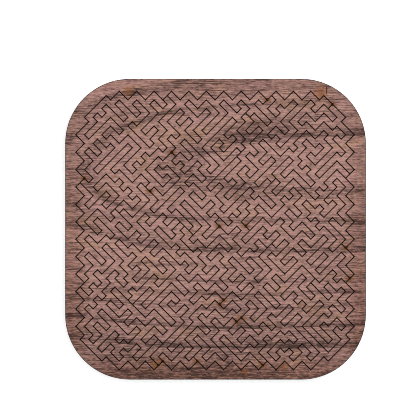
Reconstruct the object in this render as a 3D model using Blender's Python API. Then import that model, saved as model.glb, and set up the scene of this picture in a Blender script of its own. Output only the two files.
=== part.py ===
"""Fractal tray puzzle: a rounded square tray of two walnut sheets, filled by loose interlocking pieces.

The top sheet is cut on a diagonal square lattice.  A zigzag border separates the tray frame from the
pieces, and inside it one winding cut visits every lattice point, so that all the fingers are one lattice
cell wide.  Short cross cuts over the fingers then divide the sheet into the separate pieces.
"""
import math
import random
from collections import deque

import bmesh
import bpy

# Driving dimensions, in metres
SIDE = 0.150                # across the flats of the tray
CORNER_RADIUS = 0.0323      # of the tray's rounded corners
BASE_THICKNESS = 0.003      # plain bottom sheet
SHEET_THICKNESS = 0.003     # cut top sheet
SEAT_GAP = 0.0003           # between the bottom sheet and what lies or is glued on it
KERF = 0.0003               # width of the laser cut
CORNER_STEPS = 20           # facets in each rounded corner

# The lattice: points (x, y) of whole numbers whose sum is even, joined along the diagonals
LATTICE_STEPS = 69.1        # lattice half diagonals across the tray's side
UNIT = SIDE / LATTICE_STEPS
PATTERN_SHIFT = (-0.12, -0.3)   # the cut pattern's place in the tray, in half diagonals
PEAK = 32                   # how far the border's tooth tips are from the pattern's centre
VALLEY = 30                 # and its tooth roots
TEETH = 12                  # on each side
CORNER_BORDER = [(-24, 30), (-25, 31), (-30, 26), (-29, 25)]    # upper left corner, between two teeth
DOORS = [((-12, 30), (-11, 31)), ((12, 30), (13, 31))]          # where a finger starts at the frame
CENTRE_POINT = (0, 2)       # the odd lattice point, which the winding cut can't pass through

PIECES = 28
ROW_HEIGHT = 10             # of the rows that the pieces are numbered in, in half diagonals
SMALLEST_PIECE = 24         # in lattice cells
SMALLEST_SHARE = 0.22       # of a blank, for the smaller of the two parts that a cross cut makes
SHUFFLES = 60000
STRAIGHTNESS = 0.15         # how strongly the shuffle prefers a cut that runs straight on
BRANCHING = 0.9             # and cells where four fingers meet
UNSETTLED = 40              # cells tried at random where no neighbour of the smallest piece can turn
SEED = 2

DIAGONALS = [(1, 1), (-1, 1), (-1, -1), (1, -1)]                # anticlockwise

WALNUT_BASE = (0.20, 0.115, 0.085, 1.0)
WALNUT_FRAME = (0.22, 0.125, 0.105, 1.0)
WALNUT_PIECES = (0.25, 0.145, 0.12, 1.0)
WOOD_ROUGHNESS = 0.6


# ---------------------------------------------------------------- the border of the pocket

def quarter_turn(point):
    return -point[1], point[0]


def mirrored(points):
    return [(-x, y) for x, y in reversed(points)]


def border_corners():
    """The zigzag border's corners, anticlockwise, from the upper right."""
    teeth = 2 * TEETH - 1
    top = [(teeth - 1 - 2 * k, VALLEY if k % 2 else PEAK) for k in range(teeth)]
    left = [quarter_turn(p) for p in top]
    bottom = [quarter_turn(p) for p in left]
    right = [quarter_turn(p) for p in bottom]
    lower_left = [quarter_turn(p) for p in CORNER_BORDER]
    return (top + CORNER_BORDER + left + lower_left + bottom
            + mirrored(lower_left) + right + mirrored(CORNER_BORDER))


def lattice_walk(corners):
    """Every lattice point on the closed outline through the corners."""
    points = []
    for (x0, y0), (x1, y1) in zip(corners, corners[1:] + corners[:1]):
        count = abs(x1 - x0)
        points += [(x0 + (x1 - x0) * k // count, y0 + (y1 - y0) * k // count) for k in range(count)]
    return points


def is_inside(corners, x, y):
    inside = False
    for (x0, y0), (x1, y1) in zip(corners, corners[1:] + corners[:1]):
        if (y0 > y) != (y1 > y) and x < (x1 - x0) * (y - y0) / (y1 - y0) + x0:
            inside = not inside
    return inside


def doors():
    """The border's steps that a finger of the frame runs in through, two on each side."""
    result = []
    for (ax, ay), (bx, by) in DOORS:
        for s in (1, -1):
            result.append(((s * ax, s * ay), (s * bx, s * by)))
            result.append(((s * ay, s * ax), (s * by, s * bx)))
    return result


# ---------------------------------------------------------------- the winding cut

def neighbours(point):
    return [(point[0] + dx, point[1] + dy) for dx, dy in DIAGONALS]


def join(cuts, a, b):
    cuts[a].add(b)
    cuts[b].add(a)


def part_from(cuts, a, b):
    cuts[a].discard(b)
    cuts[b].discard(a)


def random_loops(need, border, rng):
    """Cuts that give each point the number of cut ends it needs, as closed loops of no set shape.

    Points of even and odd x alternate along every cut.  Cuts are laid at random first, and each even
    point that is still short is then served by moving cuts along an alternating path.
    """
    near = {p: [q for q in neighbours(p) if q in need and not (p in border and q in border)] for p in need}
    cuts = {p: set() for p in need}
    trial = [(p, q) for p in need if p[0] % 2 == 0 for q in near[p]]
    rng.shuffle(trial)
    for p, q in trial:
        if len(cuts[p]) < need[p] and len(cuts[q]) < need[q]:
            join(cuts, p, q)
    for start in need:
        while start[0] % 2 == 0 and len(cuts[start]) < need[start]:
            serve_point(start, near, need, cuts, rng)
    return cuts


def serve_point(start, near, need, cuts, rng):
    """Give the even point one more cut, by an alternating path to an odd point that is short too."""
    came_from = {start: None}
    queue = deque([start])
    goal = None
    while goal is None:
        even = queue.popleft()
        options = [q for q in near[even] if q not in cuts[even] and q not in came_from]
        rng.shuffle(options)
        for odd in options:
            came_from[odd] = even
            if len(cuts[odd]) < need[odd]:
                goal = odd
                break
            for further in sorted(cuts[odd]):
                if further not in came_from:
                    came_from[further] = odd
                    queue.append(further)
    odd = goal
    while odd is not None:
        even = came_from[odd]
        join(cuts, even, odd)
        odd = came_from[even]
        if odd is not None:
            part_from(cuts, even, odd)


def cell_corners(cell):
    x, y = cell
    return [(x + 1, y), (x, y + 1), (x - 1, y), (x, y - 1)]


def cell_sides(cell):
    corners = cell_corners(cell)
    return list(zip(corners, corners[1:] + corners[:1]))


def turnable(cuts, cell):
    """The cell's corners from its first cut side on, if just two opposite sides are cut."""
    a, b, c, d = cell_corners(cell)
    cut = [q in cuts[p] for p, q in ((a, b), (b, c), (c, d), (d, a))]
    if cut == [True, False, True, False]:
        return a, b, c, d
    if cut == [False, True, False, True]:
        return b, c, d, a
    return None


def turn_cell(cuts, corners):
    """Swap the cell's two cut sides for the other two: no point's number of cuts changes."""
    a, b, c, d = corners
    part_from(cuts, a, b)
    part_from(cuts, c, d)
    join(cuts, b, c)
    join(cuts, d, a)


def merit(cuts, cell):
    """How well the cuts round a cell suit the shuffle's preferences."""
    straight = 0
    for x, y in cell_corners(cell):
        p, q = cuts[(x, y)]
        if p[0] + q[0] == 2 * x and p[1] + q[1] == 2 * y:
            straight += 1
    crossings = 0
    for beyond in neighbours(cell):
        if not any(q in cuts.get(p, ()) for p, q in cell_sides(beyond)):
            crossings += 1
    return STRAIGHTNESS * straight + BRANCHING * crossings


def shuffle_cuts(cuts, cells, rng):
    for _ in range(SHUFFLES):
        cell = rng.choice(cells)
        corners = turnable(cuts, cell)
        if corners is None:
            continue
        before = merit(cuts, cell)
        turn_cell(cuts, corners)
        if rng.random() >= math.exp(merit(cuts, cell) - before):
            a, b, c, d = corners
            turn_cell(cuts, (b, c, d, a))


def loop_labels(cuts):
    """A label for every point, the same all along one closed cut, and the number of closed cuts."""
    labels = {}
    count = 0
    for start in cuts:
        if start in labels or not cuts[start]:
            continue
        labels[start] = count
        ends = [start]
        while ends:
            for q in cuts[ends.pop()]:
                if q not in labels:
                    labels[q] = count
                    ends.append(q)
        count += 1
    return labels, count


def merge_loops(cuts, cells, rng):
    """Turn cells between different loops until one winding cut is left."""
    labels, count = loop_labels(cuts)
    while count > 1:
        order = cells[:]
        rng.shuffle(order)
        for cell in order:
            corners = turnable(cuts, cell)
            if corners is not None and labels[corners[0]] != labels[corners[2]]:
                turn_cell(cuts, corners)
                labels, count = loop_labels(cuts)
        if count > 1:
            for cell in order[:len(order) // 20]:
                corners = turnable(cuts, cell)
                if corners is not None:
                    turn_cell(cuts, corners)
            labels, count = loop_labels(cuts)


# ---------------------------------------------------------------- the cross cuts

def next_cells(cuts, cell):
    """The cells beyond this one's uncut sides, each with the side it lies beyond."""
    x, y = cell
    for (p, q), (dx, dy) in zip(cell_sides(cell), DIAGONALS):
        if q not in cuts[p]:
            yield (x + dx, y + dy), (p, q)


def blank_from(cuts, start):
    """All the cells joined to this one."""
    blank = [start]
    seen = {start}
    for cell in blank:
        for other, _ in next_cells(cuts, cell):
            if other not in seen:
                seen.add(other)
                blank.append(other)
    return blank


def split_sides(cuts, blank):
    """Each uncut side inside the blank, with how many cells a cut there takes off."""
    parent = {blank[0]: None}
    order = [blank[0]]
    for cell in order:
        for other, side in next_cells(cuts, cell):
            if parent[cell] is None or other != parent[cell][0]:
                parent[other] = (cell, side)
                order.append(other)
    size = {cell: 1 for cell in order}
    for cell in reversed(order[1:]):
        size[parent[cell][0]] += size[cell]
    return [(parent[cell][1], size[cell]) for cell in order[1:]]


def cut_through_centre(cuts):
    """Two cuts meet at the odd lattice point, in the way that parts its four cells most evenly.

    The cells round a lattice point lie as the corners round a cell do.
    """
    around = neighbours(CENTRE_POINT)
    best = None
    for k, first in enumerate(around):
        for second in around[k + 1:]:
            join(cuts, CENTRE_POINT, first)
            join(cuts, CENTRE_POINT, second)
            blanks = {len(blank_from(cuts, cell)) for cell in cell_corners(CENTRE_POINT)}
            part_from(cuts, CENTRE_POINT, first)
            part_from(cuts, CENTRE_POINT, second)
            if len(blanks) == 2 and (best is None or min(blanks) > best[0]):
                best = (min(blanks), first, second)
    join(cuts, CENTRE_POINT, best[1])
    join(cuts, CENTRE_POINT, best[2])


def blanks_holding(cuts, cells):
    """The separate blanks that these cells are in."""
    blanks = []
    found = set()
    for cell in cells:
        if cell not in found:
            blanks.append(blank_from(cuts, cell))
            found.update(blanks[-1])
    return blanks


def try_turn(cuts, cell, least):
    """Turn the cell, unless a blank would close on itself or one would be smaller than the least size."""
    corners = turnable(cuts, cell)
    if corners is None:
        return False
    near = [cell] + neighbours(cell)
    before = blanks_holding(cuts, near)
    turn_cell(cuts, corners)
    after = blanks_holding(cuts, near)
    if len(after) == len(before) and min(len(blank) for blank in after) >= least:
        return True
    a, b, c, d = corners
    turn_cell(cuts, (b, c, d, a))
    return False


def even_out(cuts, cells, free, rng):
    """Turn cells that join a piece which is too small to its neighbours, until none is too small."""
    smallest = min(blanks_holding(cuts, cells), key=len)
    while len(smallest) < SMALLEST_PIECE:
        held = set(smallest)
        beside = [cell for cell in free if cell not in held and any(n in held for n in neighbours(cell))]
        rng.shuffle(beside)
        if not any(try_turn(cuts, cell, len(smallest) + 1) for cell in beside):
            for cell in rng.sample(free, UNSETTLED):
                try_turn(cuts, cell, len(smallest))
        smallest = min(blanks_holding(cuts, cells), key=len)


def cut_pieces(cuts, cells, rng):
    """Cross cuts, each over the largest blank left, until the sheet is in the right number of pieces."""
    blanks = blanks_holding(cuts, cells)
    while len(blanks) < PIECES:
        blanks.sort(key=len)
        blank = blanks.pop()
        total = len(blank)
        sides = [(side, taken) for side, taken in split_sides(cuts, blank)
                 if len(cuts[side[0]]) == 2 and len(cuts[side[1]]) == 2]
        fair = [side for side, taken in sides if min(taken, total - taken) > SMALLEST_SHARE * total]
        if not fair:
            fair = [max(sides, key=lambda item: min(item[1], total - item[1]))[0]]
        p, q = rng.choice(fair)
        join(cuts, p, q)
        for cell in ((p[0], q[1]), (q[0], p[1])):
            blanks.append(blank_from(cuts, cell))


# ---------------------------------------------------------------- outlines

def outlines(cuts):
    """The closed outline of everything the cuts part, each with its own material on the left."""
    unused = {(p, q) for p in cuts for q in cuts[p]}
    result = []
    for start in sorted(unused):
        if start not in unused:
            continue
        p, q = start
        loop = []
        while (p, q) in unused:
            unused.discard((p, q))
            loop.append(p)
            back = DIAGONALS.index((p[0] - q[0], p[1] - q[1]))
            turns = [DIAGONALS[(back - k) % 4] for k in (1, 2, 3)]
            ahead = [(q[0] + dx, q[1] + dy) for dx, dy in turns]
            p, q = q, next(point for point in ahead if point in cuts[q])
        result.append(loop)
    return result


def doubled_area(points):
    return sum(x0 * y1 - x1 * y0 for (x0, y0), (x1, y1) in zip(points, points[1:] + points[:1]))


def reading_order(points):
    """Sorts outlines by rows from the top, and from left to right in each row."""
    middle_x = sum(x for x, _ in points) / len(points)
    middle_y = sum(y for _, y in points) / len(points)
    return -round(middle_y / ROW_HEIGHT), middle_x


def to_metres(point):
    return ((point[0] + PATTERN_SHIFT[0]) * UNIT, (point[1] + PATTERN_SHIFT[1]) * UNIT)


def set_back(points):
    """The outline's corners in metres, set back from the cut's middle by half of its width."""
    reach = KERF / 2 / math.sqrt(2)
    result = []
    for k, (x, y) in enumerate(points):
        before = points[k - 1]
        after = points[(k + 1) % len(points)]
        arriving = (x - before[0], y - before[1])
        leaving = (after[0] - x, after[1] - y)
        if arriving == leaving:
            continue
        inward = (-arriving[1] - leaving[1], arriving[0] + leaving[0])
        mx, my = to_metres((x, y))
        result.append((mx + reach * inward[0], my + reach * inward[1]))
    return result


def tray_outline():
    """The rounded square, anticlockwise."""
    middle = SIDE / 2 - CORNER_RADIUS
    points = []
    for corner in range(4):
        quarter = corner * math.pi / 2
        centre = quarter + math.pi / 4
        cx = math.copysign(middle, math.cos(centre))
        cy = math.copysign(middle, math.sin(centre))
        for k in range(CORNER_STEPS + 1):
            angle = quarter + k * math.pi / 2 / CORNER_STEPS
            points.append((cx + CORNER_RADIUS * math.cos(angle), cy + CORNER_RADIUS * math.sin(angle)))
    return points


# ---------------------------------------------------------------- solids

def walnut(name, colour):
    material = bpy.data.materials.new(name)
    material.use_nodes = True
    shader = material.node_tree.nodes["Principled BSDF"]
    shader.inputs["Base Color"].default_value = colour
    shader.inputs["Roughness"].default_value = WOOD_ROUGHNESS
    shader.inputs["Metallic"].default_value = 0.0
    return material


def sheet_part(name, loops, low, thickness, colour):
    """A part cut out of flat sheet: the first loop is its outline, and the others are holes."""
    first = loops[0]
    cx = sum(x for x, _ in first) / len(first)
    cy = sum(y for _, y in first) / len(first)
    bm = bmesh.new()
    for loop in loops:
        corners = [bm.verts.new((x - cx, y - cy, 0.0)) for x, y in loop]
        for a, b in zip(corners, corners[1:] + corners[:1]):
            bm.edges.new((a, b))
    bmesh.ops.triangle_fill(bm, use_beauty=True, use_dissolve=False, edges=bm.edges[:])
    raised = bmesh.ops.extrude_face_region(bm, geom=bm.faces[:])["geom"]
    tops = [item for item in raised if isinstance(item, bmesh.types.BMVert)]
    bmesh.ops.translate(bm, verts=tops, vec=(0.0, 0.0, thickness))
    bmesh.ops.recalc_face_normals(bm, faces=bm.faces[:])
    mesh = bpy.data.meshes.new(name)
    bm.to_mesh(mesh)
    bm.free()
    mesh.materials.append(walnut(name + "_walnut", colour))
    part = bpy.data.objects.new(name, mesh)
    part.location = (cx, cy, low)
    bpy.context.scene.collection.objects.link(part)
    return part


def cut_pattern():
    """The whole network of cuts: each lattice point with the points that it is cut to."""
    rng = random.Random(SEED)
    corners = border_corners()
    edge_points = lattice_walk(corners)
    border = set(edge_points)
    span = range(-PEAK, PEAK + 1)
    grid = [(x, y) for x in span for y in span if (x, y) not in border and is_inside(corners, x, y)]
    inner = [(x, y) for x, y in grid if (x + y) % 2 == 0]
    cells = [(x, y) for x, y in grid if (x + y) % 2]
    need = {p: 2 for p in inner}
    need[CENTRE_POINT] = 0
    for door in doors():
        need.update({p: 1 for p in door})
    cuts = random_loops(need, border, rng)
    for p in edge_points:
        cuts.setdefault(p, set())
    closed = [set(door) for door in doors()]
    for p, q in zip(edge_points, edge_points[1:] + edge_points[:1]):
        if {p, q} not in closed:
            join(cuts, p, q)
    free = [cell for cell in cells if not any(p in border and q in border for p, q in cell_sides(cell))]
    shuffle_cuts(cuts, free, rng)
    merge_loops(cuts, free, rng)
    for p, q in doors():
        join(cuts, p, q)
    cut_through_centre(cuts)
    cut_pieces(cuts, cells, rng)
    even_out(cuts, cells, free, rng)
    return cuts


def build():
    for item in list(bpy.data.objects):
        bpy.data.objects.remove(item, do_unlink=True)
    tray = tray_outline()
    sheet_low = BASE_THICKNESS + SEAT_GAP
    sheet_part("base_board", [tray], 0.0, BASE_THICKNESS, WALNUT_BASE)
    loops = outlines(cut_pattern())
    pocket = min(loops, key=doubled_area)
    pieces = sorted((loop for loop in loops if loop is not pocket), key=reading_order)
    sheet_part("tray_frame", [tray, set_back(pocket)], sheet_low, SHEET_THICKNESS, WALNUT_FRAME)
    for number, loop in enumerate(pieces, 1):
        sheet_part(f"piece_{number:02d}", [set_back(loop)], sheet_low, SHEET_THICKNESS, WALNUT_PIECES)


build()
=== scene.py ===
"""Looks of the fractal tray puzzle: walnut sheet with scorched cuts, glue line, floor, light and camera."""
import math
import random
from collections import namedtuple

import bmesh
import bpy
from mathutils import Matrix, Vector


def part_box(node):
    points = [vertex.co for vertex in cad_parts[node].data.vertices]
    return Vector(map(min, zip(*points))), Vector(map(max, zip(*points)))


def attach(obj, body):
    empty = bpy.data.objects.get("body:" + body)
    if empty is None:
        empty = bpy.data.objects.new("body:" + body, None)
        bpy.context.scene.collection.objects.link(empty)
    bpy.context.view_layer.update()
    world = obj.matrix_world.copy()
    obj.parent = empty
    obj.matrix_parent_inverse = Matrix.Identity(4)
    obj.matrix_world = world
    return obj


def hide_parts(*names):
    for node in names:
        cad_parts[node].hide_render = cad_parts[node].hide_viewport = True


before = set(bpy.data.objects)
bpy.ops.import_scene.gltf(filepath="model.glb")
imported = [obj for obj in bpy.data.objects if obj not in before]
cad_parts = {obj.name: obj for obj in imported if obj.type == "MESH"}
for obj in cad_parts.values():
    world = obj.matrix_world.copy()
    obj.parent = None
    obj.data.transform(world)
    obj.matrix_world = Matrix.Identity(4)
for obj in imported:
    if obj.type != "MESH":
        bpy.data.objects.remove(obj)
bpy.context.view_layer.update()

MM = 0.001
PER_METRE = 1000.0                  # millimetres in a metre
TRAY = "tray"                       # the body that the board and the frame belong to
PIECES = sorted(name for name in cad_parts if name.startswith("piece_"))
LOW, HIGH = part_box("tray_frame")
HALF = HIGH.x                       # half of the tray's side
TOP = HIGH.z * PER_METRE            # height of the upper face in millimetres

# Edge profiles of the cut sheet.  Each point: how far in from the cut wall and how far below the face,
# in millimetres, and how charred it is.
CUT_EDGE = (
    (0.0, 0.035, 1.0),
    (0.030, 0.0, 0.95),
    (0.100, 0.0, 0.84),
    (0.140, 0.0, 0.10),
    (0.34, 0.0, 0.0),
)
OUTER_EDGE = (
    (0.0, 0.12, 1.0),
    (0.10, 0.0, 0.72),
    (0.20, 0.0, 0.22),
    (0.45, 0.0, 0.05),
    (1.20, 0.0, 0.0),
)
GLUE_EDGE = ((0.0, 0.06, 1.0), (0.05, 0.0, 1.0))
GLUE_SHARE = 0.998                  # width of the glue line as a share of the tray's
CORNER_REACH = 0.45 * MM            # the char is deeper this near to a corner; beyond the last inset
CORNER_CHAR = 0.22
SHARP_TURN = 0.5                    # cosine of the turn from which a corner counts as sharp
SMOOTH_ANGLE = math.radians(20)
FLAT = 0.01 * MM                    # a face this level with the top belongs to it

# The walnut's figure: nearly round growth rings about a core that dips away to the left, in millimetres
CORE_Y = 32.3
CORE_TILT = 0.028
CORE_DIP = 18.3
CORE_SLOPE = -0.12
CORE_BEND = -16.0                   # left of this the core dips away faster
CORE_BEND_SLOPE = 0.22
CORE_BEND_ROUNDING = 10.0
RING_SPAN = 115.0                   # radius that the growth rings are worked out to
Ring = namedtuple("Ring", "radius darkness inward outward")
RINGS = (
    Ring(14.0, 0.44, 1.5, 7.0),
    Ring(31.0, 0.50, 2.5, 1.6),
    Ring(37.5, 0.26, 3.5, 1.0),
    Ring(44.5, 0.46, 6.5, 0.8),
    Ring(52.5, 0.26, 2.5, 0.8),
    Ring(60.0, 0.36, 3.0, 0.7),
    Ring(66.0, 0.38, 2.5, 0.7),
    Ring(73.0, 0.34, 2.5, 0.7),
    Ring(82.0, 0.52, 3.0, 0.7),
    Ring(92.0, 0.52, 4.0, 0.7),
)

# Layers of noise, drawn out along the board to 1/share of their width.  The gain and the shift are what
# a layer adds to and takes from the tone, or for the two bends from the place, in millimetres.
Layer = namedtuple("Layer", "share scale detail rough gain shift", defaults=(1.0, 0.0))
SLOW_BEND = Layer(share=0.25, scale=0.045, detail=2.0, rough=0.5, gain=7.0, shift=3.5)
QUICK_BEND = Layer(share=0.12, scale=0.30, detail=3.0, rough=0.5, gain=1.0, shift=0.5)
HAIRLINE = Layer(share=0.013, scale=1.20, detail=2.0, rough=0.5, gain=0.26)
STREAK = Layer(share=0.07, scale=0.60, detail=3.0, rough=0.6, gain=0.50, shift=0.125)
STRAND = Layer(share=0.07, scale=1.70, detail=3.0, rough=0.65, gain=1.70, shift=0.816)
FIBRE = Layer(share=0.16, scale=2.6, detail=4.0, rough=0.7, gain=1.70, shift=0.83)
FLECK = Layer(share=0.35, scale=1.50, detail=2.0, rough=0.6, gain=1.20, shift=0.584)
BROAD = Layer(share=0.45, scale=0.05, detail=1.0, rough=0.5, gain=0.30, shift=0.12)
WARMTH = Layer(share=0.5, scale=0.16, detail=4.0, rough=0.65)
WARMTH_LEVEL = 40.0                 # lifts the warmth out of step with the broad layer
LANE_BEND = 0.30                    # how much of the rings' wander the fibres share
LATE_GAIN = 1.5                     # how the strands break up the late wood
LATE_BASE = 0.08                    # and what is left of it without them
HAIRLINE_RANGE = (0.56, 0.70)

# Darker places.  Each: where in millimetres it starts, where it is full, and how dark it is.
LOWER_WOOD = (-18.0, -76.0, 0.34)
RIM = (60.0, 73.0, 0.09)
LEFT_AND_RIGHT = (61.0, 72.0, 0.13)
FRONT_RIM = (-66.0, -73.0, 0.18)
RIM_SMOKE = (60.0, -68.0, 0.25)     # the smoke's cast grows from this share at the back to all at the front
PATCH_MIDDLE = (24.0, 50.5)         # broad dark heart above the core
PATCH_SLOPE = 0.17
PATCH_REACH = (36.0, 9.0)
PATCH_CORE = 0.25
PATCH_DARKNESS = 0.32

PORE_SHARE = 0.16
PORE_SCALE = 2.2
PORE_EDGE = (0.14, 0.34)
PORE_CHOICE = (0.40, 0.55)          # only the cells past this hold a pore
PORE_DARKNESS = 0.72

PALE_WOOD = (0.350, 0.198, 0.168)
DARK_WOOD = (0.043, 0.022, 0.018)
TAN_WOOD = (0.328, 0.184, 0.125)
PINK_WOOD = (0.326, 0.177, 0.160)
CAST = 0.85                         # how far the tan and the pink go
CHAR = (0.0020, 0.0013, 0.0012)
TOAST = (0.032, 0.014, 0.008)
SCORCH = (0.060, 0.031, 0.019)
SMOKED = (1.0, 0.90, 0.83)          # what the laser's smoke leaves of the wood's colour round the rim
SMOKE_STAIN = (0.92, 0.74, 0.56)    # and in the stains
AMBER = (0.150, 0.058, 0.022)
GLUE_DARK = (0.018, 0.011, 0.008)
GLUE_PALE = (0.050, 0.028, 0.018)

# Amber stains of the laser's smoke beside the pocket, as shares of the half side, and reach in millimetres
STAINS = (
    (-0.58, 0.915, 4.2),
    (0.70, 0.905, 5.5),
    (-0.40, -0.895, 3.6),
    (0.45, -0.915, 3.4),
    (0.19, -0.945, 3.0),
)
STAIN_CORE = 0.55                   # reach of a stain's amber core, as a share of the stain's
STAIN_AMBER = 0.55                  # and how strong the amber is
LEAD_IN = (0.739, 0.923)            # middle of the short burnt line where the laser started, likewise
LEAD_IN_REACH = 0.42
LEAD_IN_STRETCH = (1.0, 8.0, 8.0)
LEAD_IN_CHAR = 0.36
MARKS = 17                          # burnt junctions of the cuts
SMUDGE_REACH = 2.2                  # millimetres, as are the other reaches
SMUDGE_STRETCH = (1.5, 1.0, 1.0)
SMUDGE_AMBER = 0.85
HEART_REACH = 1.10
HEART_CHAR = 0.55
SOLID_SPOT = 0.25                   # share of its reach to which a spot is solid
JUNCTION_GAP = 0.5 * MM             # the corners of two parts at a junction are nearer than this
SQUARE_TURN = 0.7                   # sine of the turn from which a corner can lie at a junction
SEED = 11

WALL_CHAR = (0.97, 1.0)             # this charred means the wall of a cut
SOOT_SHARE = 0.4
TOAST_RANGE = (0.02, 0.34)          # char at which the wood starts to brown, and is all brown
CHAR_RANGE = (0.28, 0.58)           # and likewise for black
STRIPE_STRETCH = (1.0, 1.0, 0.05)   # the beam's stripes run up the walls
STRIPE_RANGE = (0.35, 0.70)
WOOD_SPECULAR = 0.08
BUMP_DEPTH = 0.05 * MM

# The studio, in metres and watts
FLOOR_HALF = 3.0
FLOOR_DROP = 0.1 * MM
FLOOR_TONE = (0.90, 0.90, 0.90, 1.0)
FLOOR_GLOW = 0.40
KEY_PLACE = (0.7, 0.7, 1.3)
KEY_SIZE = 0.9
KEY_POWER = 16.0
SKY = 1.0
WHITE = (1.0, 1.0, 1.0, 1.0)
VIEW_WIDTH = 2.766 * HALF
VIEW_MIDDLE = (-0.0502 * HALF, 0.141 * HALF)
CAMERA_HEIGHT = 1.0
PIXEL_FILTER = 1.0


# ---------------------------------------------------------------- outlines of the flat parts

def face_loops(node):
    """The closed outlines of a flat part's upper face, with the material on the left."""
    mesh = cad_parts[node].data
    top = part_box(node)[1].z
    steps = set()
    for face in mesh.polygons:
        corners = [mesh.vertices[k].co for k in face.vertices]
        if all(top - c.z < FLAT for c in corners):
            keys = [(round(c.x, 6), round(c.y, 6)) for c in corners]
            steps.update(zip(keys, keys[1:] + keys[:1]))
    after = {a: b for a, b in sorted(steps) if (b, a) not in steps}
    loops = []
    while after:
        start, point = after.popitem()
        loop = [start]
        while point != start:
            loop.append(point)
            point = after.pop(point)
        loops.append(loop)
    return sorted(loops, key=signed_area, reverse=True)


def signed_area(loop):
    return sum(a[0] * b[1] - b[0] * a[1] for a, b in zip(loop, loop[1:] + loop[:1])) / 2


def rail(loop):
    """The loop's points, each with its inward mitre vector and 1 at a sharp corner, else 0.

    Long steps get a point near each end, so that the char can fade away from the corners.
    """
    points = []
    count = len(loop)
    for k, corner in enumerate(loop):
        before, here, after = Vector(loop[k - 1]), Vector(corner), Vector(loop[(k + 1) % count])
        arriving = (here - before).normalized()
        leaving = (after - here).normalized()
        left_in = Vector((-arriving.y, arriving.x))
        left_out = Vector((-leaving.y, leaving.x))
        mitre = (left_in + left_out) / (1.0 + left_in.dot(left_out))
        sharp = 1.0 if arriving.dot(leaving) < SHARP_TURN else 0.0
        points.append((here, mitre, sharp))
        if sharp and (after - here).length > 3 * CORNER_REACH:
            points.append((here + leaving * CORNER_REACH, left_out, 0.0))
            points.append((after - leaving * CORNER_REACH, left_out, 0.0))
    return points


def flat_part(name, loops, low, high, edges):
    """A part cut from sheet between two heights, with the edge profile of each loop in edges.

    Rings of points along the edges carry how charred the wood is, in the "char" attribute.
    """
    bm = bmesh.new()
    char = bm.verts.layers.float.new("char")
    upper_rims, lower_rims = [], []
    for loop, profile in zip(loops, edges):
        points = rail(loop)
        levels = [(inset, high - drop * MM, burnt) for inset, drop, burnt in reversed(profile)]
        levels += [(inset, low + drop * MM, burnt) for inset, drop, burnt in profile]
        rows = []
        for inset, z, burnt in levels:
            row = []
            for here, mitre, sharp in points:
                at = here + mitre * inset * MM
                vert = bm.verts.new((at.x, at.y, z))
                vert[char] = min(1.0, burnt + CORNER_CHAR * sharp) if burnt > 0.0 else 0.0
                row.append(vert)
            rows.append(row)
        for upper, lower in zip(rows, rows[1:]):
            for k in range(len(points)):
                bm.faces.new((upper[k - 1], lower[k - 1], lower[k], upper[k]))
        upper_rims.append(rows[0])
        lower_rims.append(rows[-1])
    for rows in (upper_rims, lower_rims):
        if len(rows) == 1:
            bm.faces.new(rows[0]).normal_update()
        else:
            border = [bm.edges.get(pair) for row in rows for pair in zip(row, row[1:] + row[:1])]
            bmesh.ops.triangle_fill(bm, use_beauty=True, use_dissolve=False, edges=border)
    bmesh.ops.triangulate(bm, faces=[face for face in bm.faces if len(face.verts) > 4])
    bmesh.ops.recalc_face_normals(bm, faces=bm.faces[:])
    mesh = bpy.data.meshes.new(name)
    bm.to_mesh(mesh)
    bm.free()
    mesh.shade_smooth()
    mesh.set_sharp_from_angle(angle=SMOOTH_ANGLE)
    part = bpy.data.objects.new(name, mesh)
    bpy.context.scene.collection.objects.link(part)
    return part


# ---------------------------------------------------------------- shader building blocks

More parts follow.
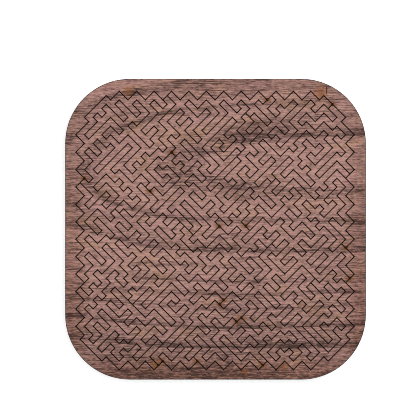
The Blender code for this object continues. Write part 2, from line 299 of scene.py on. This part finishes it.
class Shader:
    """A material under construction: each method adds one node and returns its output."""

    def __init__(self, name):
        self.material = bpy.data.materials.new(name)
        self.material.use_nodes = True
        self.tree = self.material.node_tree
        self.surface = self.tree.nodes["Principled BSDF"]

    def put(self, socket, value):
        if isinstance(value, bpy.types.NodeSocket):
            self.tree.links.new(value, socket)
        elif isinstance(value, tuple) and socket.type == "RGBA":
            socket.default_value = (*value, 1.0)
        else:
            socket.default_value = value

    def add(self, kind, **settings):
        node = self.tree.nodes.new("ShaderNode" + kind)
        for key, value in settings.items():
            setattr(node, key, value)
        return node

    def math(self, operation, a, b=0.0, c=0.0):
        node = self.add("Math", operation=operation)
        for socket, value in zip(node.inputs, (a, b, c)):
            self.put(socket, value)
        return node.outputs[0]

    def vector(self, operation, a, b=(0.0, 0.0, 0.0)):
        node = self.add("VectorMath", operation=operation)
        self.put(node.inputs[0], a)
        self.put(node.inputs[1], b)
        return node.outputs["Value" if operation in ("DISTANCE", "LENGTH") else "Vector"]

    def combine(self, x, y, z):
        node = self.add("CombineXYZ")
        for socket, value in zip(node.inputs, (x, y, z)):
            self.put(socket, value)
        return node.outputs[0]

    def split(self, vector):
        node = self.add("SeparateXYZ")
        self.put(node.inputs[0], vector)
        return node.outputs

    def millimetres(self):
        """The place on the object in millimetres."""
        place = self.add("TexCoord").outputs["Object"]
        return self.vector("MULTIPLY", place, (PER_METRE, PER_METRE, PER_METRE))

    def noise(self, at, scale, detail, roughness):
        node = self.add("TexNoise")
        self.put(node.inputs["Vector"], at)
        self.put(node.inputs["Scale"], scale)
        self.put(node.inputs["Detail"], detail)
        self.put(node.inputs["Roughness"], roughness)
        return node.outputs["Fac"]

    def ranged(self, value, low, high, to_low=0.0, to_high=1.0, smooth=True):
        node = self.add("MapRange", interpolation_type="SMOOTHSTEP" if smooth else "LINEAR")
        for socket, number in zip(node.inputs, (value, low, high, to_low, to_high)):
            self.put(socket, number)
        return node.outputs[0]

    def mix(self, share, a, b, blend="MIX"):
        node = self.add("Mix", data_type="RGBA", blend_type=blend, clamp_factor=True)
        self.put(node.inputs["Factor"], share)
        self.put(node.inputs["A"], a)
        self.put(node.inputs["B"], b)
        return node.outputs["Result"]

    def ramp(self, value, stops):
        node = self.add("ValToRGB")
        elements = node.color_ramp.elements
        while len(elements) < len(stops):
            elements.new(0.5)
        for element, (position, tone) in zip(elements, stops):
            element.position = position
            element.color = (tone, tone, tone, 1.0)
        self.put(node.inputs[0], value)
        return node.outputs[0]

    def attribute(self, name):
        return self.add("Attribute", attribute_name=name).outputs["Fac"]

    def bump(self, height, distance, strength):
        node = self.add("Bump")
        self.put(node.inputs["Height"], height)
        self.put(node.inputs["Distance"], distance)
        self.put(node.inputs["Strength"], strength)
        return node.outputs[0]


def growth_stops():
    """Late wood darkens slowly towards each ring's edge and ends sharply."""
    stops = [(0.0, 0.0)]
    for ring in RINGS:
        stops.append(((ring.radius - ring.inward) / RING_SPAN, 0.0))
        stops.append((ring.radius / RING_SPAN, ring.darkness))
        stops.append(((ring.radius + ring.outward) / RING_SPAN, 0.0))
    return stops


def drawn_out(s, layer, x, across, z):
    at = s.combine(s.math("MULTIPLY", x, layer.share), across, z)
    return s.noise(at, layer.scale, layer.detail, layer.rough)


def ring_wander(s, x, y, z):
    """How far the rings stray sideways, in millimetres."""
    slow = drawn_out(s, SLOW_BEND, x, y, z)
    quick = drawn_out(s, QUICK_BEND, x, y, z)
    slow = s.math("MULTIPLY_ADD", slow, SLOW_BEND.gain, -SLOW_BEND.shift)
    quick = s.math("MULTIPLY_ADD", quick, QUICK_BEND.gain, -QUICK_BEND.shift)
    return s.math("ADD", slow, quick)


def ring_radius(s, x, y_bent, z):
    """Distance from the core of the tree, which runs along the board and dips away to the left."""
    across = s.math("SUBTRACT", y_bent, s.math("MULTIPLY_ADD", x, CORE_TILT, CORE_Y))
    left = s.math("SMOOTH_MAX", s.math("SUBTRACT", CORE_BEND, x), 0.0, CORE_BEND_ROUNDING)
    dip = s.math("MULTIPLY_ADD", left, CORE_BEND_SLOPE, s.math("MULTIPLY_ADD", x, CORE_SLOPE, CORE_DIP))
    dip = s.math("SUBTRACT", dip, z)
    return s.math("SQRT", s.math("ADD", s.math("MULTIPLY", across, across), s.math("MULTIPLY", dip, dip)))


def dark_patch(s, x, y_bent):
    """The broad dark heart, an oval that slopes upwards to the right."""
    along = s.math("SUBTRACT", x, PATCH_MIDDLE[0])
    over = s.math("SUBTRACT", y_bent, PATCH_MIDDLE[1])
    over = s.math("SUBTRACT", over, s.math("MULTIPLY", along, PATCH_SLOPE))
    oval = s.combine(s.math("DIVIDE", along, PATCH_REACH[0]), s.math("DIVIDE", over, PATCH_REACH[1]), 0.0)
    return s.ranged(s.vector("LENGTH", oval), PATCH_CORE, 1.0, PATCH_DARKNESS, 0.0)


def wood_pores(s, x, lane, z):
    """Short dark dashes along the fibres: the middles of stretched cells, in some of the cells."""
    cells = s.add("TexVoronoi", feature="F1", distance="EUCLIDEAN")
    s.put(cells.inputs["Vector"], s.combine(s.math("MULTIPLY", x, PORE_SHARE), lane, z))
    s.put(cells.inputs["Scale"], PORE_SCALE)
    pick = s.add("SeparateColor")
    s.put(pick.inputs[0], cells.outputs["Color"])
    core = s.ranged(cells.outputs["Distance"], *PORE_EDGE, 1.0, 0.0)
    return s.math("MULTIPLY", core, s.ranged(pick.outputs[0], *PORE_CHOICE))


def walnut_figure(s, sheet_shift):
    """The wood's place in its log in millimetres, its colour, its pores and its fibres.

    The shift picks another board from the log.
    """
    place = s.millimetres()
    at = s.vector("ADD", place, sheet_shift)
    x, y, z = s.split(at)
    side, front, _ = s.split(place)
    wander = ring_wander(s, x, y, z)
    y_bent = s.math("ADD", y, wander)
    lane = s.math("MULTIPLY_ADD", wander, LANE_BEND, y)
    radius = ring_radius(s, x, y_bent, z)

    strand = drawn_out(s, STRAND, x, lane, z)
    fibre = drawn_out(s, FIBRE, x, lane, z)
    late = s.ramp(s.math("DIVIDE", radius, RING_SPAN), growth_stops())
    tone = s.math("MULTIPLY", late, s.math("MULTIPLY_ADD", strand, LATE_GAIN, LATE_BASE))
    layers = (
        (HAIRLINE, s.ranged(drawn_out(s, HAIRLINE, x, lane, z), *HAIRLINE_RANGE)),
        (STREAK, drawn_out(s, STREAK, x, radius, z)),
        (STRAND, strand),
        (FIBRE, fibre),
        (FLECK, drawn_out(s, FLECK, x, lane, z)),
        (BROAD, drawn_out(s, BROAD, x, y, z)),
    )
    for layer, value in layers:
        tone = s.math("MULTIPLY_ADD", value, layer.gain, s.math("SUBTRACT", tone, layer.shift))

    start, full, dark = LOWER_WOOD
    tone = s.math("ADD", tone, s.ranged(y, start, full, 0.0, dark, smooth=False))
    tone = s.math("ADD", tone, dark_patch(s, x, y_bent))
    from_side = s.math("ABSOLUTE", side)
    start, full, dark = RIM
    rim = s.ranged(s.math("MAXIMUM", from_side, s.math("ABSOLUTE", front)), start, full)
    tone = s.math("MULTIPLY_ADD", rim, dark, tone)
    for where, (start, full, dark) in ((from_side, LEFT_AND_RIGHT), (front, FRONT_RIM)):
        tone = s.math("ADD", tone, s.ranged(where, start, full, 0.0, dark))

    warmth = drawn_out(s, WARMTH, x, y, s.math("ADD", z, WARMTH_LEVEL))
    pale = s.mix(s.ranged(warmth, 0.50, 0.70, 0.0, CAST), PALE_WOOD, TAN_WOOD)
    pale = s.mix(s.ranged(warmth, 0.50, 0.32, 0.0, CAST), pale, PINK_WOOD)
    wood = s.mix(tone, pale, DARK_WOOD)
    back, near, share = RIM_SMOKE
    smoke = s.math("MULTIPLY", rim, s.ranged(front, back, near, share, 1.0))
    wood = s.mix(smoke, wood, SMOKED, "MULTIPLY")
    pores = wood_pores(s, x, lane, z)
    wood = s.mix(s.math("MULTIPLY", pores, PORE_DARKNESS), wood, DARK_WOOD)
    return at, wood, pores, fibre


def near_points(s, at, points, reach, stretch=(1.0, 1.0, 1.0)):
    """1 at the points and 0 beyond their reach, with a ragged edge; the stretch makes the spots oval."""
    ragged = s.math("MULTIPLY_ADD", s.noise(at, 1.1, 3.0, 0.6), reach, -reach / 2)
    shrunk = tuple(1.0 / way for way in stretch)
    scaled = s.vector("MULTIPLY", at, shrunk)
    result = 0.0
    for px, py in points:
        away = s.vector("DISTANCE", scaled, (px * shrunk[0], py * shrunk[1], TOP * shrunk[2]))
        fade = s.ranged(s.math("ADD", away, ragged), reach * SOLID_SPOT, reach, 1.0, 0.0)
        result = s.math("MAXIMUM", result, fade)
    return result


def on_face(u, v):
    """A point given in shares of the half side, in millimetres."""
    return u * HALF * PER_METRE, v * HALF * PER_METRE


def laser_marks(s, at, wood, burnt, marks):
    """The smoke stains, the burnt junctions and the lead-in, on the wood's colour and on its char."""
    for u, v, reach in STAINS:
        spot = near_points(s, at, [on_face(u, v)], reach)
        wood = s.mix(spot, wood, SMOKE_STAIN, "MULTIPLY")
        core = near_points(s, at, [on_face(u, v)], reach * STAIN_CORE)
        wood = s.mix(s.math("MULTIPLY", core, STAIN_AMBER), wood, AMBER)
    smudge = near_points(s, at, marks, SMUDGE_REACH, SMUDGE_STRETCH)
    wood = s.mix(s.math("MULTIPLY", smudge, SMUDGE_AMBER), wood, AMBER)
    heart = near_points(s, at, marks, HEART_REACH)
    burnt = s.math("MAXIMUM", burnt, s.math("MULTIPLY", heart, HEART_CHAR))
    lead_in = near_points(s, at, [on_face(*LEAD_IN)], LEAD_IN_REACH, LEAD_IN_STRETCH)
    burnt = s.math("MAXIMUM", burnt, s.math("MULTIPLY", lead_in, LEAD_IN_CHAR))
    return wood, burnt


def walnut(name, sheet_shift, marks=()):
    """Walnut with charred cuts; the sheet with marks also has the stains, burnt junctions and lead-in."""
    s = Shader(name)
    at, wood, pores, fibre = walnut_figure(s, sheet_shift)
    burnt = s.attribute("char")
    wall = s.ranged(burnt, *WALL_CHAR)
    if marks:
        wood, burnt = laser_marks(s, at, wood, burnt, marks)
    soot = s.math("SUBTRACT", s.noise(at, 1.9, 3.0, 0.6), 0.5)
    burnt = s.math("MULTIPLY_ADD", soot, s.math("MULTIPLY", burnt, SOOT_SHARE), burnt)
    wood = s.mix(s.ranged(burnt, *TOAST_RANGE), wood, TOAST)
    wood = s.mix(s.ranged(burnt, *CHAR_RANGE), wood, CHAR)
    stripes = s.noise(s.vector("MULTIPLY", at, STRIPE_STRETCH), 6.0, 3.0, 0.6)
    wood = s.mix(wall, wood, s.mix(s.ranged(stripes, *STRIPE_RANGE), CHAR, SCORCH))
    s.put(s.surface.inputs["Base Color"], wood)
    roughness = s.math("MULTIPLY_ADD", burnt, 0.15, 0.50)
    s.put(s.surface.inputs["Roughness"], s.math("MULTIPLY_ADD", fibre, 0.20, roughness))
    s.surface.inputs["Specular IOR Level"].default_value = WOOD_SPECULAR
    height = s.math("MULTIPLY_ADD", pores, -1.0, s.math("MULTIPLY", fibre, 0.35))
    height = s.math("MULTIPLY_ADD", stripes, s.math("MULTIPLY", wall, 1.5), height)
    s.put(s.surface.inputs["Normal"], s.bump(height, BUMP_DEPTH, 0.8))
    return s.material


def glue():
    s = Shader("dark_wood_glue")
    lumps = s.noise(s.millimetres(), 0.9, 4.0, 0.6)
    s.put(s.surface.inputs["Base Color"], s.mix(lumps, GLUE_DARK, GLUE_PALE))
    s.put(s.surface.inputs["Roughness"], s.math("MULTIPLY_ADD", lumps, 0.3, 0.35))
    s.put(s.surface.inputs["Normal"], s.bump(lumps, BUMP_DEPTH, 0.6))
    return s.material


# ---------------------------------------------------------------- the puzzle

def dress(part, material, body, node=None):
    """Gives the part its material and body, and lets it stand in for the node, if there is one."""
    part.data.materials.append(material)
    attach(part, body)
    if node:
        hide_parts(node)


def cut_junctions(outlines):
    """Where a cut ends on another, in millimetres: two corners of different outlines lie a kerf apart."""
    corners = []
    for loops in outlines.values():
        for loop in loops:
            for before, here, after in zip(loop[-1:] + loop[:-1], loop, loop[1:] + loop[:1]):
                arriving, leaving = Vector(here) - Vector(before), Vector(after) - Vector(here)
                if arriving.cross(leaving) > SQUARE_TURN * arriving.length * leaving.length:
                    corners.append((Vector(here), loop))
    found = []
    for k, (here, loop) in enumerate(corners):
        for there, other in corners[:k]:
            if other is not loop and (here - there).length < JUNCTION_GAP:
                found.append((here + there) / 2 * PER_METRE)
    return found


outlines = {name: face_loops(name) for name in PIECES + ["tray_frame"]}
draw = random.Random(SEED)
marks = draw.sample(cut_junctions(outlines), MARKS)
sheet_wood = walnut("walnut_cut_sheet", (0.0, 0.0, 0.0), marks)
board_wood = walnut("walnut_bottom_board", (37.0, -18.0, 22.0))

for name in PIECES:
    low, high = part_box(name)
    piece = flat_part(name + "_cut", outlines[name], low.z, high.z, [CUT_EDGE])
    dress(piece, sheet_wood, name, name)

ring = flat_part("tray_frame_cut", outlines["tray_frame"], LOW.z, HIGH.z, [OUTER_EDGE, CUT_EDGE])
dress(ring, sheet_wood, TRAY, "tray_frame")

low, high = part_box("base_board")
board = flat_part("base_board_cut", face_loops("base_board"), low.z, high.z, [OUTER_EDGE])
dress(board, board_wood, TRAY, "base_board")

rounded_square, pocket = outlines["tray_frame"]
glue_loop = [(x * GLUE_SHARE, y * GLUE_SHARE) for x, y in rounded_square]
seam = flat_part("glue_line", [glue_loop, pocket], high.z, LOW.z, [GLUE_EDGE, GLUE_EDGE])
dress(seam, glue(), TRAY)


# ---------------------------------------------------------------- floor, light and camera

def plain_floor():
    bm = bmesh.new()
    bmesh.ops.create_grid(bm, x_segments=2, y_segments=2, size=FLOOR_HALF)
    mesh = bpy.data.meshes.new("studio_floor")
    bm.to_mesh(mesh)
    bm.free()
    floor = bpy.data.objects.new("studio_floor", mesh)
    floor.location.z = -FLOOR_DROP
    bpy.context.scene.collection.objects.link(floor)
    s = Shader("pale_floor")
    s.surface.inputs["Base Color"].default_value = FLOOR_TONE
    s.surface.inputs["Roughness"].default_value = 0.8
    s.surface.inputs["Emission Color"].default_value = WHITE
    s.surface.inputs["Emission Strength"].default_value = FLOOR_GLOW
    mesh.materials.append(s.material)


def soft_light():
    data = bpy.data.lights.new("key", "AREA")
    data.shape = "DISK"
    data.size = KEY_SIZE
    data.energy = KEY_POWER
    light = bpy.data.objects.new("key", data)
    light.location = KEY_PLACE
    light.rotation_euler = (-Vector(KEY_PLACE)).to_track_quat("-Z", "Y").to_euler()
    bpy.context.scene.collection.objects.link(light)


def pale_world():
    world = bpy.data.worlds.new("studio")
    world.use_nodes = True
    background = world.node_tree.nodes["Background"]
    background.inputs["Color"].default_value = WHITE
    background.inputs["Strength"].default_value = SKY
    bpy.context.scene.world = world


def look_down():
    """A camera that looks straight down, from a little left of and behind the tray's middle."""
    data = bpy.data.cameras.new("camera")
    data.type = "ORTHO"
    data.ortho_scale = VIEW_WIDTH
    data.clip_end = 10.0
    camera = bpy.data.objects.new("camera", data)
    camera.location = (*VIEW_MIDDLE, CAMERA_HEIGHT)
    bpy.context.scene.collection.objects.link(camera)
    bpy.context.scene.camera = camera


plain_floor()
soft_light()
pale_world()
look_down()
bpy.context.scene.view_settings.view_transform = "Standard"
bpy.context.scene.cycles.filter_width = PIXEL_FILTER
bpy.context.scene.cycles.use_denoising = False      # it would smear the fine cuts and pores
